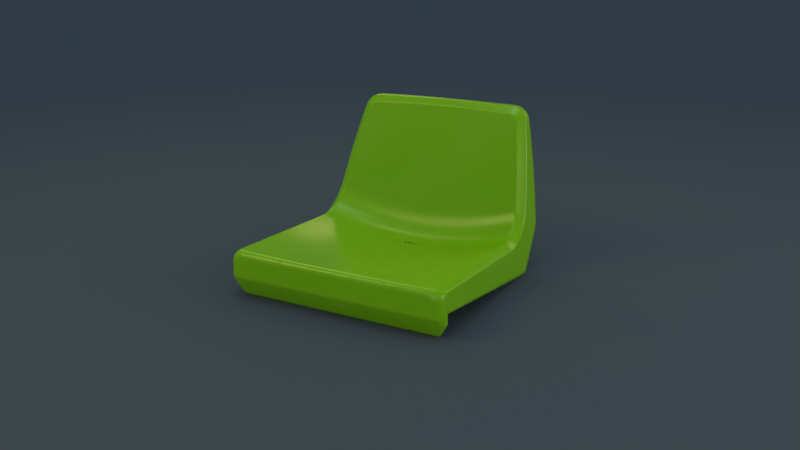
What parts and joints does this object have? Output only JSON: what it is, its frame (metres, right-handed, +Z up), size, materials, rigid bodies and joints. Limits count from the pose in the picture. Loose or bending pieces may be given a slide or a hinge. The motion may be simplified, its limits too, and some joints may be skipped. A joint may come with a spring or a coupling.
{
  "type": "stadium seat",
  "caption": "Low-back moulded plastic stadium seat with a dished pan, deep front skirt, ribbed open underside and steel hat-section mounting rails.",
  "frame": {"origin": "centre of the four anchor threads, on the plane that the seat stands on", "axes": "+X to the right of someone who faces the seat, +Y to the back of the seat, +Z up"},
  "size_m": [0.4414, 0.4543, 0.318],
  "materials": {
    "shell_plastic": "satin, fine moulded grain",
    "galvanised_steel": "hot-dip galvanised, dull",
    "insert_brass": "turned",
    "zinc_plate": "bright zinc plate",
    "spring_steel": "dark zinc plate",
    "nut_steel": "galvanised with the rail"
  },
  "bodies": {
    "root": {"seat_shell": "shell_plastic", "mounting_rail_left": "galvanised_steel", "mounting_rail_right": "galvanised_steel", "threaded_insert_front_left": "insert_brass", "flat_washer_front_left": "zinc_plate", "spring_washer_front_left": "spring_steel", "rail_bolt_front_left": "zinc_plate", "weld_nut_front_left": "nut_steel", "threaded_insert_front_right": "insert_brass", "flat_washer_front_right": "zinc_plate", "spring_washer_front_right": "spring_steel", "rail_bolt_front_right": "zinc_plate", "weld_nut_front_right": "nut_steel", "threaded_insert_rear_left": "insert_brass", "flat_washer_rear_left": "zinc_plate", "spring_washer_rear_left": "spring_steel", "rail_bolt_rear_left": "zinc_plate", "weld_nut_rear_left": "nut_steel", "threaded_insert_rear_right": "insert_brass", "flat_washer_rear_right": "zinc_plate", "spring_washer_rear_right": "spring_steel", "rail_bolt_rear_right": "zinc_plate", "weld_nut_rear_right": "nut_steel"}
  },
  "joints": []
}
